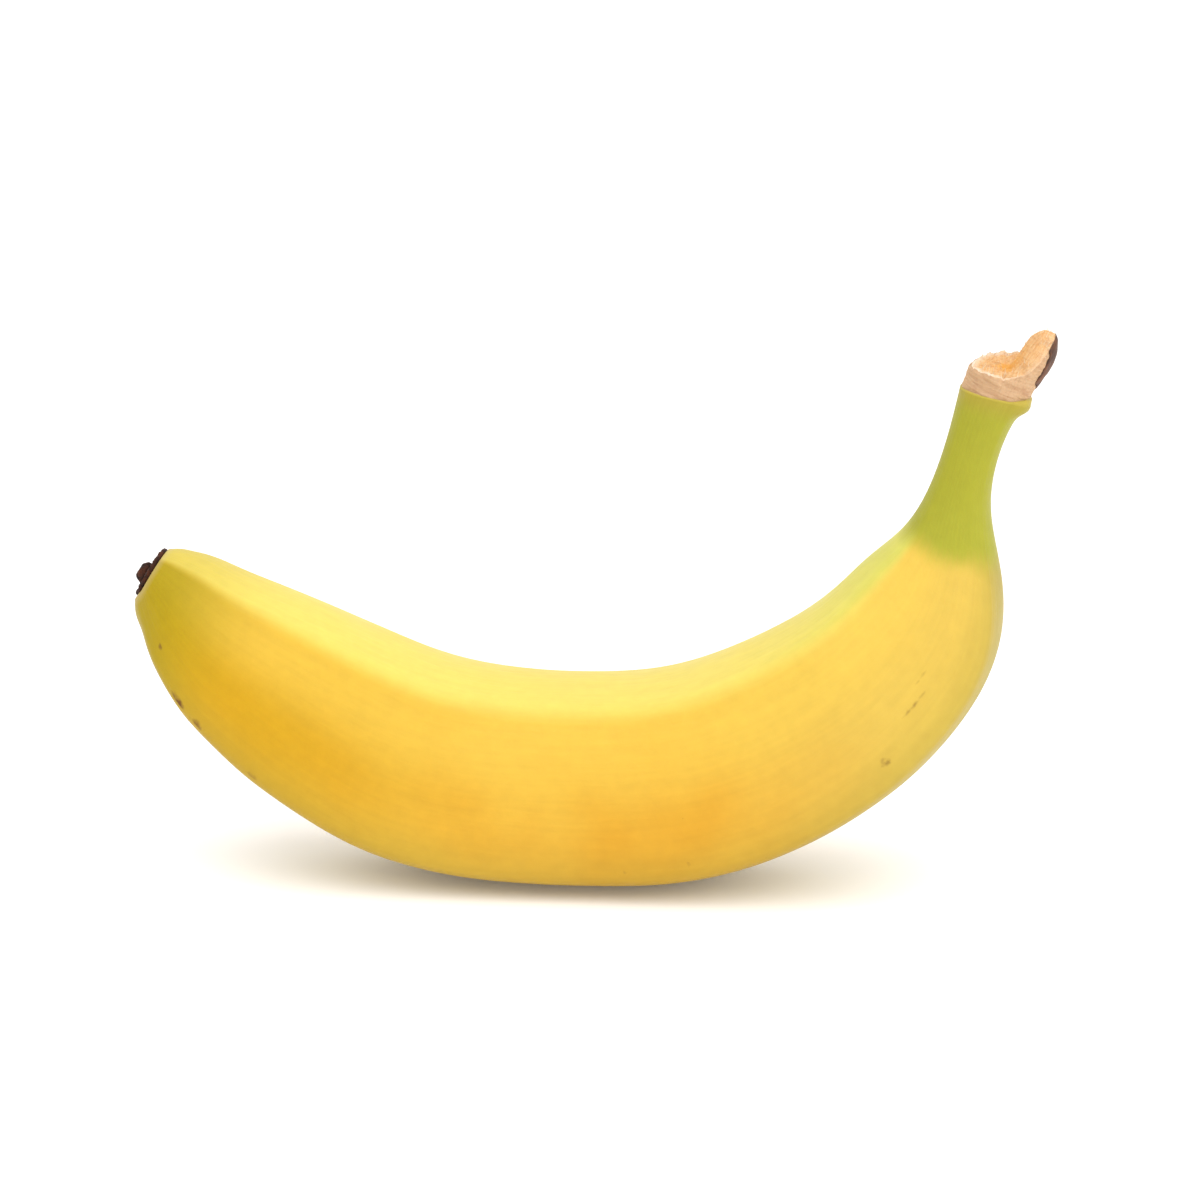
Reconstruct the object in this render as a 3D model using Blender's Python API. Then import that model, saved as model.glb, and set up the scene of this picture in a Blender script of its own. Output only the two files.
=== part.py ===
"""A single ripe banana, standing on its belly with the blossom tip at -X and the torn stem at +X. The fruit
grew as one piece, so it is one closed solid. Metres, +Z up, the origin under the middle of the fruit's box,
on the surface it stands on.

The skin is a loft: soft five-sided sections stand along a spine that curves up at both ends. They shrink to
the dried blossom scar at one end. At the other they draw in to the stem, which widens again where it tore off
its bunch and ends in a slanting, slightly hollow torn face. A small flat under the belly is where the skin
gives under the fruit's weight.
"""

import math
from collections import namedtuple

import bmesh
import bpy
import numpy as np
from mathutils import Vector

MM = 0.001

# Driving dimensions, mm and degrees. A section's along and up place its middle on the spine, turn is how far
# its plane leans out of upright towards the stem, and girth is the fruit's thickness there in the bend's plane.
Section = namedtuple("Section", "along up turn girth")
SECTIONS = (
    Section(-76.6, 53.4, 31, 9.6),  # rim of the blossom scar
    Section(-73.7, 50.0, 33, 16.6),
    Section(-69.4, 45.5, 34, 22.4),
    Section(-64.0, 40.8, 35, 27.0),
    Section(-58.0, 36.4, 35, 30.4),
    Section(-51.6, 32.0, 34, 33.2),
    Section(-44.3, 27.6, 31, 35.0),
    Section(-32.8, 22.3, 24, 36.4),
    Section(-16.8, 18.5, 11, 36.6),
    Section(0.0, 17.8, 0, 36.4),
    Section(16.0, 19.1, -9, 36.8),
    Section(31.8, 24.6, -23, 36.2),
    Section(45.9, 33.6, -36, 33.8),
    Section(54.5, 41.8, -46, 31.2),
    Section(59.5, 50.2, -58, 26.6),
    Section(61.7, 58.0, -70, 19.2),
    Section(62.6, 64.5, -77, 12.8),
    Section(63.9, 71.0, -76, 10.0),
    Section(65.5, 77.5, -74, 9.2),
    Section(67.0, 83.5, -72, 9.6),
    Section(68.1, 86.9, -73, 11.8),  # corky collar where the skin ends
    Section(69.4, 89.8, -90, 13.4),
    Section(71.3, 93.0, -114, 16.8),  # rim of the torn face
)
STEPS_PER_SECTION = 3

STEM_BEND = 7.0  # how far the torn face stands behind the plane of the bend
STEM_BEND_FROM = 45.0  # along the spine's length on X, where that bend starts
TORN_SWING = 18.0  # the torn face turns this far to look out at the front
TORN_SECTIONS = 2  # over this many sections

# The section: five soft faces, named by where they look. Angles run from +Y over the inside of the bend.
FACES_LOOK = {"back_high": 25.0, "inside": 90.0, "front": 170.0, "belly": 266.0, "back_low": 330.0}
RIDGE_CREST = 0.5  # 0 is a round section, 1 has flat faces
RIDGE_POWER = 12.0  # a higher power makes tighter ridges
RIDGES_FROM, RIDGES_TO = 9.0, 30.0  # girths between which the ridges come up
BODY_DEPTH = 0.95  # front to back against girth, where the body is full
TORN_DEPTH = 0.68  # the same on the rim of the torn face
STEPS_PER_FACE = 6

# The two ends, as rings after the last rim: how far out along the end's own direction, and girth against rim.
BLOSSOM_SCAR = ((-0.4, 0.86), (-0.5, 0.55), (0.5, 0.40), (1.3, 0.24))  # a dished scar with the flower's stub
TORN_HOLLOW = ((0.1, 0.90), (-0.9, 0.66), (-1.5, 0.34))

FOOT_DEPTH = 0.65  # the belly flattens this much where it bears on the surface


def face_angles():
    """The ring's angles in radians: a point on each of the five ridges, and an even run across each face."""
    looks = list(FACES_LOOK.values())
    ridges = [(a + b) / 2 for a, b in zip(looks, looks[1:] + [looks[0] + 360.0])]
    runs = []
    for ridge, following in zip(ridges, ridges[1:] + [ridges[0] + 360.0]):
        runs.append(np.linspace(ridge, following, STEPS_PER_FACE, endpoint=False))
    return np.radians(np.concatenate(runs))


def smooth_rise(value, low, high):
    """0 below low, 1 above high, and an even curve between."""
    t = min(max((value - low) / (high - low), 0.0), 1.0)
    return t * t * (3 - 2 * t)


def section_outline(girth, depth):
    """A ring's points in its own plane, as rows of across and up: a circle drawn towards a soft pentagon."""
    angles = face_angles()
    looks = np.radians(list(FACES_LOOK.values()))
    facing = np.cos(angles[:, None] - looks[None, :]).clip(min=0.0)
    pentagon = (facing**RIDGE_POWER).sum(axis=1) ** (-1.0 / RIDGE_POWER)
    crest = RIDGE_CREST * smooth_rise(girth, RIDGES_FROM, RIDGES_TO)
    radius = (1.0 + crest * (pentagon - 1.0)) * girth / 2
    return np.column_stack([np.cos(angles) * radius * depth, np.sin(angles) * radius])


def smooth_rows(rows, steps):
    """A Catmull-Rom curve through the rows, with even steps between each two of them."""
    padded = np.vstack([2 * rows[0] - rows[1], rows, 2 * rows[-1] - rows[-2]])
    t = np.linspace(0.0, 1.0, steps, endpoint=False)[:, None]
    runs = []
    for a, b, c, d in zip(padded, padded[1:], padded[2:], padded[3:]):
        runs.append(b + ((c - a) * t + (2 * a - 5 * b + 4 * c - d) * t**2 + (3 * b - a - 3 * c + d) * t**3) / 2)
    return np.vstack(runs + [rows[-1:]])


def section_axes(turn, swing):
    """The section's own up and across directions, and the way it faces, which is towards the stem."""
    turn, swing = math.radians(turn), math.radians(swing)
    up = Vector((math.sin(turn), 0.0, math.cos(turn)))
    facing = Vector((math.cos(turn), 0.0, -math.sin(turn)))
    across = Vector((0.0, math.cos(swing), 0.0)) + facing * math.sin(swing)
    return up, across, up.cross(-across)


def ring_points(row, swing, outward=0.0, share=1.0):
    """One ring of the loft in metres. outward moves it along its facing, share scales it."""
    along, up_by, turn, girth = row
    up, across, facing = section_axes(turn, swing)
    bend = STEM_BEND * smooth_rise(along, STEM_BEND_FROM, SECTIONS[-1].along)
    centre = Vector((along, bend, up_by)) + facing * outward
    full = smooth_rise(girth, RIDGES_FROM, RIDGES_TO)
    depth = 1.0 + (BODY_DEPTH - 1.0) * full
    if swing > 0.0:
        depth += (TORN_DEPTH - 1.0) * swing / TORN_SWING
    outline = section_outline(girth, depth) * share
    return [(centre + across * side + up * rise) * MM for side, rise in outline]


def all_rings():
    """Every ring from the blossom stub to the bottom of the torn hollow."""
    rows = smooth_rows(np.array(SECTIONS, float), STEPS_PER_SECTION)
    rings = [ring_points(rows[0], 0.0, -out, share) for out, share in reversed(BLOSSOM_SCAR)]
    torn_steps = TORN_SECTIONS * STEPS_PER_SECTION
    for step, row in enumerate(rows):
        from_end = len(rows) - 1 - step
        rings.append(ring_points(row, TORN_SWING * max(0.0, 1.0 - from_end / torn_steps)))
    rings += [ring_points(rows[-1], TORN_SWING, out, share) for out, share in TORN_HOLLOW]
    return rings


def loft(rings):
    """Join the rings into one closed skin with a cap on each end."""
    bm = bmesh.new()
    loops = [[bm.verts.new(point) for point in ring] for ring in rings]
    for loop, after in zip(loops, loops[1:]):
        for i in range(len(loop)):
            bm.faces.new((loop[i - 1], loop[i], after[i], after[i - 1]))
    bm.faces.new(loops[0])
    bm.faces.new(loops[-1])
    return bm


def flatten_belly(bm):
    """Cut the flat the fruit stands on, and set it at z = 0."""
    lowest = min(vert.co.z for vert in bm.verts)
    geometry = bm.verts[:] + bm.edges[:] + bm.faces[:]
    level = Vector((0.0, 0.0, lowest + FOOT_DEPTH * MM))
    cut = bmesh.ops.bisect_plane(
        bm, geom=geometry, dist=0.00001, plane_co=level, plane_no=(0, 0, -1), clear_outer=True
    )
    edges = [item for item in cut["geom_cut"] if isinstance(item, bmesh.types.BMEdge)]
    bmesh.ops.edgeloop_fill(bm, edges=edges)
    bmesh.ops.translate(bm, verts=bm.verts, vec=-level)


def centre_on_origin(bm):
    """Bring the middle of the fruit's box over the origin."""
    for axis in (0, 1):
        values = [vert.co[axis] for vert in bm.verts]
        shift = Vector((0.0, 0.0, 0.0))
        shift[axis] = -(min(values) + max(values)) / 2
        bmesh.ops.translate(bm, verts=bm.verts, vec=shift)


def peel_material():
    """Ripe yellow peel with its thin natural wax."""
    material = bpy.data.materials.new("ripe banana peel")
    material.use_nodes = True
    shader = material.node_tree.nodes["Principled BSDF"]
    shader.inputs["Base Color"].default_value = (0.84, 0.54, 0.055, 1.0)
    shader.inputs["Roughness"].default_value = 0.45
    shader.inputs["Metallic"].default_value = 0.0
    return material


def banana():
    """The whole fruit as one object."""
    bm = loft(all_rings())
    flatten_belly(bm)
    centre_on_origin(bm)
    bmesh.ops.recalc_face_normals(bm, faces=bm.faces)
    mesh = bpy.data.meshes.new("banana")
    bm.to_mesh(mesh)
    bm.free()
    mesh.materials.append(peel_material())
    return bpy.data.objects.new("banana", mesh)


def build():
    for leftover in list(bpy.data.objects):
        bpy.data.objects.remove(leftover, do_unlink=True)
    collection = bpy.data.collections.new("single banana")
    bpy.context.scene.collection.children.link(collection)
    collection.objects.link(banana())


build()
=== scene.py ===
"""The looks of a single ripe banana standing on its belly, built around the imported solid."""

import math
from collections import namedtuple

import bmesh
import bpy
import numpy as np
from mathutils import Matrix, Vector, noise


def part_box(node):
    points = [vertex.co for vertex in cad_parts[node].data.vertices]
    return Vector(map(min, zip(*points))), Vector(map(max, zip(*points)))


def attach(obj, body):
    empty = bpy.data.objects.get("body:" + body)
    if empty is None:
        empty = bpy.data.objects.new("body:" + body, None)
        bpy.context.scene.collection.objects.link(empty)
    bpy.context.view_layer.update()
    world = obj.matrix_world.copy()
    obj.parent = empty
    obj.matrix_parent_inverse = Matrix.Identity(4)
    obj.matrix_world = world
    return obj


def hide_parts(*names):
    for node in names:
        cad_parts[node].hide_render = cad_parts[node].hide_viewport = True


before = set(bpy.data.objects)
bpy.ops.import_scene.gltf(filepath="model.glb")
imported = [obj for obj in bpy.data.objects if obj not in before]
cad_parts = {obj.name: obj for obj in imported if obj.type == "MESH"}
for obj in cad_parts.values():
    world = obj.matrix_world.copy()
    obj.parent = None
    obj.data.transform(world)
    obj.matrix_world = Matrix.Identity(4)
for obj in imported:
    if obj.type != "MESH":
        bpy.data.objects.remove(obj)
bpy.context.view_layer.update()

# ---------------------------------------------------------------------------------------------------------
# The peel, from the rim of the blossom scar to the collar of the stem: leathery rind about 3 mm thick under
# a thin natural wax. It grew as five flattish faces that meet in soft ridges, and it ripened from green to
# yellow, last of all at the stem.
# ---------------------------------------------------------------------------------------------------------
MM = 0.001

low_corner, high_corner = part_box("banana")
MID_X = (low_corner[0] + high_corner[0]) / 2
FLOOR_Z = low_corner[2]
DRAWN_LENGTH = 0.158  # the length of the fruit that the sizes below are given for
SIZE = MM * (high_corner[0] - low_corner[0]) / DRAWN_LENGTH  # one millimetre of that fruit, in metres

# Sections along the spine, mm and degrees: the place of the section's middle along X and above the surface,
# how far it turns out of upright towards the stem, and the fruit's thickness there.
Section = namedtuple("Section", "along up turn girth")
SECTIONS = (
    Section(-76.5, 53.2, 31, 9.4),
    Section(-73.6, 49.8, 33, 17.3),
    Section(-69.4, 45.2, 34, 22.2),
    Section(-64.0, 40.4, 35, 26.8),
    Section(-58.0, 36.3, 35, 29.9),
    Section(-51.6, 32.0, 34, 32.6),
    Section(-44.3, 27.7, 31, 34.4),
    Section(-32.8, 22.0, 24, 36.2),
    Section(-16.8, 18.3, 11, 36.6),
    Section(0.0, 17.6, 0, 36.4),
    Section(16.0, 18.9, -9, 36.8),
    Section(31.8, 24.4, -23, 36.2),
    Section(45.9, 33.4, -36, 33.8),
    Section(54.5, 41.6, -46, 31.2),
    Section(59.8, 50.0, -58, 27.2),
    Section(62.1, 57.8, -70, 19.6),
    Section(62.9, 64.3, -77, 13.1),
    Section(64.0, 70.8, -76, 9.9),
    Section(65.6, 77.3, -74, 9.2),
    Section(67.3, 82.8, -75, 10.1),
    Section(68.9, 86.6, -79, 11.7),
)
STEM_BEND = 7.0  # how far the stem's end stands back
STEM_BEND_FROM, STEM_BEND_TO = 45.0, 71.5  # where along X it bends back
SPINE_LENGTH = 195.0  # mm
FAIR_STATIONS, FAIR_WINDOW, FAIR_SAMPLES = 90, 4.5, 9  # how the spine is evened out, see fair_sections
CURVE_STEPS = 8  # points on the curve between two stations
HALF_TURN, FULL_TURN = 180.0, 360.0

# Where the five faces look, in degrees from +Y over the inside of the bend.
FACES_LOOK = (25.0, 90.0, 170.0, 266.0, 330.0)
MERGE = 0.000002  # points nearer than this are one
PEEL_SHAPE = {
    "Rings": 420,
    "Points around": 160,
    "Body crest": 0.5,  # 0 is a round section, 1 has flat faces
    "Stem crest": 0.16,
    "Ridge power": 12.0,
    "Body depth": 0.95,  # front to back against girth
    "Round below": 4.5 * SIZE,  # the ridges come up between these two half girths
    "Ridged above": 15.0 * SIZE,
    "Lump height": 0.3 * SIZE,
    "Lumps per metre": 34.0,
    "Floor": FLOOR_Z,
    "Settled over": 0.0004,
}


def smooth_rise(value, low, high):
    """0 below low, 1 above high, and an even curve between. Takes numbers or arrays."""
    t = np.clip((value - low) / (high - low), 0.0, 1.0)
    return t * t * (3 - 2 * t)


def linear(hex_colour):
    """An sRGB hex colour such as #EBB93C as linear RGBA."""
    channels = [int(hex_colour[i : i + 2], 16) / 255 for i in (1, 3, 5)]
    return [c / 12.92 if c <= 0.04045 else ((c + 0.055) / 1.055) ** 2.4 for c in channels] + [1.0]


def add_node(tree, kind, sockets=None, **settings):
    """Adds a node and returns its first live output. sockets maps an input's name or number to its value,
    or to the output that feeds it."""
    node = tree.nodes.new(kind)
    for name, value in settings.items():
        setattr(node, name, value)
    for key, value in (sockets or {}).items():
        live = [socket for socket in node.inputs if socket.enabled and socket.name == key]
        target = live[0] if live else node.inputs[key]
        if isinstance(value, bpy.types.NodeSocket):
            tree.links.new(value, target)
        else:
            target.default_value = value
    return next((socket for socket in node.outputs if socket.enabled), None)


def put_in_scene(name, data):
    """A new object with this data, at the origin."""
    piece = bpy.data.objects.new(name, data)
    bpy.context.scene.collection.objects.link(piece)
    return piece


def spine_point(along, up):
    """A place on the bend's plane, moved back where the stem bends back, in metres."""
    aside = STEM_BEND * float(smooth_rise(along, STEM_BEND_FROM, STEM_BEND_TO))
    return Vector((MID_X, 0.0, FLOOR_Z)) + Vector((along, aside, up)) * SIZE


def fair_sections(count, window):
    """Evenly spaced sections on a cubic spline through the given ones. Each is then the mean of its
    neighbours within the window in mm, so that the outline runs fair."""
    rows = np.array(SECTIONS)
    reach = np.concatenate([[0.0], np.cumsum(np.hypot(np.diff(rows[:, 0]), np.diff(rows[:, 1])))])
    gaps = np.diff(reach)
    slopes = np.diff(rows, axis=0) / gaps[:, None]
    inner = np.diag(2 * (gaps[:-1] + gaps[1:])) + np.diag(gaps[1:-1], 1) + np.diag(gaps[1:-1], -1)
    bends = np.zeros_like(rows)
    bends[1:-1] = np.linalg.solve(inner, 6 * np.diff(slopes, axis=0))

    def at(places):
        i = np.clip(np.searchsorted(reach, places) - 1, 0, len(gaps) - 1)
        gap = gaps[i][:, None]
        after, before = (places - reach[i])[:, None], (reach[i + 1] - places)[:, None]
        cubic = (bends[i] * before**3 + bends[i + 1] * after**3) / (6 * gap)
        low, high = rows[i] / gap - bends[i] * gap / 6, rows[i + 1] / gap - bends[i + 1] * gap / 6
        return cubic + low * before + high * after

    places = np.linspace(0.0, reach[-1], count)
    width = np.minimum(window, np.minimum(places, reach[-1] - places))
    return np.mean([at(places + share * width) for share in np.linspace(-1.0, 1.0, FAIR_SAMPLES)], axis=0)


def spine_object():
    """The spine as a curve: its radius holds half the girth, and its tilt holds the turn."""
    curve = bpy.data.curves.new("spine", "CURVE")
    curve.dimensions = "3D"
    spline = curve.splines.new("POLY")
    stations = [Section(*row) for row in fair_sections(FAIR_STATIONS, FAIR_WINDOW).tolist()]
    spline.points.add(len(stations) - 1)
    for point, section in zip(spline.points, stations):
        point.co = (*spine_point(section.along, section.up), 1.0)
        point.radius = section.girth / 2 * SIZE
        point.tilt = math.radians(section.turn)
    return put_in_scene("spine", curve)


def open_tree(name, source, sizes):
    """A new Geometry Nodes tree with named inputs for its source, its sizes and its material. Returns the
    tree, and what its inputs give."""
    tree = bpy.data.node_groups.new(name, "GeometryNodeTree")
    tree.interface.new_socket(source, in_out="INPUT", socket_type="NodeSocketGeometry")
    for key, value in sizes.items():
        kind = "NodeSocketInt" if isinstance(value, int) else "NodeSocketFloat"
        tree.interface.new_socket(key, in_out="INPUT", socket_type=kind)
    tree.interface.new_socket("Material", in_out="INPUT", socket_type="NodeSocketMaterial")
    tree.interface.new_socket("Geometry", in_out="OUTPUT", socket_type="NodeSocketGeometry")
    return tree, add_node(tree, "NodeGroupInput").node.outputs


def close_tree(tree, shape, material):
    """Makes the shape's instances real, gives it its material, and sends it out of the tree."""
    shape = add_node(tree, "GeometryNodeRealizeInstances", {"Geometry": shape})
    shape = add_node(tree, "GeometryNodeSetMaterial", {"Geometry": shape, "Material": material})
    add_node(tree, "NodeGroupOutput", {0: shape})
    return tree


def peel_tree():
    """Geometry Nodes that sweep the five-sided section along the spine."""
    tree, given = open_tree("peel sweep", "Spine", PEEL_SHAPE)
    mesh = add_node(
        tree,
        "GeometryNodeMeshGrid",
        {"Size X": 1.0, "Size Y": 1.0, "Vertices X": given["Rings"], "Vertices Y": given["Points around"]},
    )
    unwrapped = mesh.node.outputs["UV Map"]
    position = add_node(tree, "GeometryNodeInputPosition")
    on_grid = add_node(tree, "ShaderNodeSeparateXYZ", {0: position}).node.outputs
    along = add_node(tree, "ShaderNodeMath", {0: on_grid["X"], 1: 0.5}, operation="ADD")
    angle = add_node(
        tree, "ShaderNodeMath", {0: on_grid["Y"], 1: 2 * math.pi, 2: -math.pi / 2}, operation="MULTIPLY_ADD"
    )

    spine = add_node(
        tree, "GeometryNodeCurveSplineType", {"Curve": given["Spine"]}, spline_type="CATMULL_ROM"
    )
    spine = add_node(
        tree, "GeometryNodeSetSplineResolution", {"Geometry": spine, "Resolution": CURVE_STEPS}
    )
    radius, turn = (
        add_node(
            tree,
            "GeometryNodeSampleCurve",
            {"Curves": spine, "Value": add_node(tree, kept), "Factor": along},
        )
        for kept in ("GeometryNodeInputRadius", "GeometryNodeInputCurveTilt")
    )
    centre = radius.node.outputs["Position"]

    # How near the angle is to each face's own, added up into a soft pentagon.
    total = None
    for look in FACES_LOOK:
        off = add_node(tree, "ShaderNodeMath", {0: angle, 1: math.radians(look)}, operation="SUBTRACT")
        facing = add_node(tree, "ShaderNodeMath", {0: off}, operation="COSINE")
        facing = add_node(tree, "ShaderNodeMath", {0: facing, 1: 0.0}, operation="MAXIMUM")
        facing = add_node(tree, "ShaderNodeMath", {0: facing, 1: given["Ridge power"]}, operation="POWER")
        if total is not None:
            facing = add_node(tree, "ShaderNodeMath", {0: total, 1: facing}, operation="ADD")
        total = facing
    root = add_node(tree, "ShaderNodeMath", {0: -1.0, 1: given["Ridge power"]}, operation="DIVIDE")
    pentagon = add_node(tree, "ShaderNodeMath", {0: total, 1: root}, operation="POWER")
    ridge = add_node(tree, "ShaderNodeMath", {0: pentagon, 1: 1.0}, operation="SUBTRACT")

    fullness = add_node(
        tree,
        "ShaderNodeMapRange",
        {"Value": radius, "From Min": given["Round below"], "From Max": given["Ridged above"]},
        interpolation_type="SMOOTHSTEP",
    )
    crest = add_node(
        tree,
        "ShaderNodeMapRange",
        {"Value": fullness, "To Min": given["Stem crest"], "To Max": given["Body crest"]},
    )
    depth = add_node(
        tree, "ShaderNodeMapRange", {"Value": fullness, "To Min": 1.0, "To Max": given["Body depth"]}
    )
    reach = add_node(tree, "ShaderNodeMath", {0: ridge, 1: crest, 2: 1.0}, operation="MULTIPLY_ADD")
    reach = add_node(tree, "ShaderNodeMath", {0: reach, 1: radius}, operation="MULTIPLY")

    # The first and last rings close to a point under the scar and the collar.
    open_part = add_node(tree, "ShaderNodeMath", {0: along, 1: 0.5, 2: 0.4999}, operation="COMPARE")
    reach = add_node(tree, "ShaderNodeMath", {0: reach, 1: open_part}, operation="MULTIPLY")

    cosine = add_node(tree, "ShaderNodeMath", {0: angle}, operation="COSINE")
    sine = add_node(tree, "ShaderNodeMath", {0: angle}, operation="SINE")
    across = add_node(tree, "ShaderNodeMath", {0: reach, 1: cosine}, operation="MULTIPLY")
    across = add_node(tree, "ShaderNodeMath", {0: across, 1: depth}, operation="MULTIPLY")
    rise = add_node(tree, "ShaderNodeMath", {0: reach, 1: sine}, operation="MULTIPLY")
    turn_sine = add_node(tree, "ShaderNodeMath", {0: turn}, operation="SINE")
    turn_cosine = add_node(tree, "ShaderNodeMath", {0: turn}, operation="COSINE")
    rise_x = add_node(tree, "ShaderNodeMath", {0: rise, 1: turn_sine}, operation="MULTIPLY")
    rise_z = add_node(tree, "ShaderNodeMath", {0: rise, 1: turn_cosine}, operation="MULTIPLY")
    outward = add_node(tree, "ShaderNodeCombineXYZ", {"X": rise_x, "Y": across, "Z": rise_z})
    spot = add_node(tree, "ShaderNodeVectorMath", {0: centre, 1: outward}, operation="ADD")

    # What the peel's material reads is stored on the points before they move.
    for name, value in (("along", along), ("side", cosine), ("top", sine), ("fullness", fullness)):
        mesh = add_node(
            tree, "GeometryNodeStoreNamedAttribute", {"Geometry": mesh, "Name": name, "Value": value}
        )
    mesh = add_node(
        tree,
        "GeometryNodeStoreNamedAttribute",
        {"Geometry": mesh, "Name": "UVMap", "Value": unwrapped},
        data_type="FLOAT2",
        domain="CORNER",
    )
    mesh = add_node(tree, "GeometryNodeSetPosition", {"Geometry": mesh, "Position": spot})
    mesh = add_node(tree, "GeometryNodeMergeByDistance", {"Geometry": mesh, "Distance": MERGE})

    # Slow lumps in the rind.
    lump = add_node(
        tree,
        "ShaderNodeTexNoise",
        {"Vector": position, "Scale": given["Lumps per metre"], "Detail": 2.0, "Roughness": 0.45},
    )
    lump = add_node(tree, "ShaderNodeMath", {0: lump, 1: 0.5}, operation="SUBTRACT")
    lump = add_node(tree, "ShaderNodeMath", {0: lump, 1: given["Lump height"]}, operation="MULTIPLY")
    kept_fullness = add_node(tree, "GeometryNodeInputNamedAttribute", {"Name": "fullness"})
    lump = add_node(tree, "ShaderNodeMath", {0: lump, 1: kept_fullness}, operation="MULTIPLY")
    normal = add_node(tree, "GeometryNodeInputNormal")
    offset = add_node(tree, "ShaderNodeVectorMath", {0: normal, "Scale": lump}, operation="SCALE")
    mesh = add_node(tree, "GeometryNodeSetPosition", {"Geometry": mesh, "Offset": offset})

    # The belly gives where it bears on the surface.
    standing = add_node(tree, "ShaderNodeSeparateXYZ", {0: position}).node.outputs
    height = add_node(
        tree,
        "ShaderNodeMath",
        {0: standing["Z"], 1: given["Floor"], 2: given["Settled over"]},
        operation="SMOOTH_MAX",
    )
    settled = add_node(tree, "ShaderNodeCombineXYZ", {"X": standing["X"], "Y": standing["Y"], "Z": height})
    mesh = add_node(tree, "GeometryNodeSetPosition", {"Geometry": mesh, "Position": settled})
    mesh = add_node(tree, "GeometryNodeSetShadeSmooth", {"Geometry": mesh})
    return close_tree(tree, mesh, given["Material"])


def grow(source, tree, values, name):
    """Runs a Geometry Nodes tree on the source object, and returns the result as a plain mesh object."""
    modifier = source.modifiers.new("grown", "NODES")
    modifier.node_group = tree
    for socket in tree.interface.items_tree:
        if socket.in_out == "INPUT" and socket.name in values:
            modifier[socket.identifier] = values[socket.name]
    evaluated = source.evaluated_get(bpy.context.evaluated_depsgraph_get())
    mesh = bpy.data.meshes.new_from_object(evaluated)
    mesh.name = name
    bpy.data.objects.remove(source)
    return put_in_scene(name, mesh)


def face_outwards(piece, merge=0.0):
    """Turns a closed piece's faces outwards, once points nearer than merge are one."""
    bm = bmesh.new()
    bm.from_mesh(piece.data)
    if merge:
        bmesh.ops.remove_doubles(bm, verts=bm.verts, dist=merge)
    bmesh.ops.recalc_face_normals(bm, faces=bm.faces)
    bm.to_mesh(piece.data)
    bm.free()


# Where the skin swells on the outside of the bend: a torn lip under the stem's end, and a fold by the
# blossom scar. Along and reach are shares of the fruit's length.
Lip = namedtuple("Lip", "along reach proud")
LIPS = (Lip(0.9935, 0.0085, 1.25 * SIZE), Lip(0.007, 0.012, 0.6 * SIZE))
LIP_FROM, LIP_TO = 0.45, 0.95  # how far towards the outside a lip begins and is full

# Rubs, bruises and specks, each an oval patch: place along the spine from 0 at the blossom scar to 1 at the
# collar, angle round the section in degrees, length and width in mm, strength.
Mark = namedtuple("Mark", "along angle length width strength")
RUBS = (
    Mark(0.086, 216, 3.6, 1.3, 1.0),
    Mark(0.112, 216, 2.6, 1.1, 0.9),
    Mark(0.175, 216, 3.0, 0.9, 0.6),
    Mark(0.046, 204, 1.1, 0.9, 0.8),
    Mark(0.096, 66, 5.0, 0.9, 0.7),
    Mark(0.130, 66, 3.0, 0.8, 0.5),
    Mark(0.700, 207, 1.8, 1.3, 0.8),
    Mark(0.745, 196, 7.0, 0.9, 0.5),
    Mark(0.765, 189, 4.0, 0.8, 0.45),
    Mark(0.530, 211, 1.2, 1.0, 0.5),
    Mark(0.480, 212, 0.9, 0.9, 0.5),
    Mark(0.300, 350, 9.0, 1.0, 0.6),
    Mark(0.560, 352, 12.0, 0.9, 0.55),
    Mark(0.640, 300, 5.0, 1.4, 0.6),
    Mark(0.420, 64, 7.0, 0.9, 0.5),
    Mark(0.820, 355, 6.0, 1.0, 0.7),
    Mark(0.220, 20, 3.0, 1.8, 0.5),
)
MARK_FULL, MARK_FADES = 0.3, 1.6  # shares of a mark's half size where it is full and where it has faded out
NECK_HALF_GIRTH, BODY_HALF_GIRTH = 5.0, 18.5  # mm


def paint_marks(piece, marks, name):
    """Stores how strongly the marks cover each point."""
    mesh = piece.data
    stored = {}
    for key in ("along", "side", "top", "fullness"):
        values = np.empty(len(mesh.vertices), np.float32)
        mesh.attributes[key].data.foreach_get("value", values)
        stored[key] = values
    angle = np.degrees(np.arctan2(stored["top"], stored["side"]))
    half_girth = NECK_HALF_GIRTH + (BODY_HALF_GIRTH - NECK_HALF_GIRTH) * stored["fullness"]
    cover = np.zeros(len(mesh.vertices), np.float32)
    for mark in marks:
        ahead = (stored["along"] - mark.along) * SPINE_LENGTH / (mark.length / 2)
        aside = (angle - mark.angle + HALF_TURN) % FULL_TURN - HALF_TURN
        aside = np.radians(aside) * half_girth / (mark.width / 2)
        near = smooth_rise(-np.hypot(ahead, aside), -MARK_FADES, -MARK_FULL)
        cover = np.maximum(cover, near * mark.strength)
    mesh.attributes.new(name, "FLOAT", "POINT").data.foreach_set("value", cover.astype(np.float32))


def swell_lips(piece, lips):
    """Pushes the skin out along its own normal at each lip."""
    mesh = piece.data
    count = len(mesh.vertices)
    along, top = np.empty(count), np.empty(count)
    mesh.attributes["along"].data.foreach_get("value", along)
    mesh.attributes["top"].data.foreach_get("value", top)
    places, normals = np.empty(count * 3), np.empty(count * 3)
    mesh.vertices.foreach_get("co", places)
    mesh.vertex_normals.foreach_get("vector", normals)
    amount = sum(lip.proud * np.exp(-(((along - lip.along) / lip.reach) ** 2)) for lip in lips)
    amount = amount * smooth_rise(-top, LIP_FROM, LIP_TO)
    mesh.vertices.foreach_set("co", places + (normals.reshape(-1, 3) * amount[:, None]).ravel())
    mesh.update()


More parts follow.
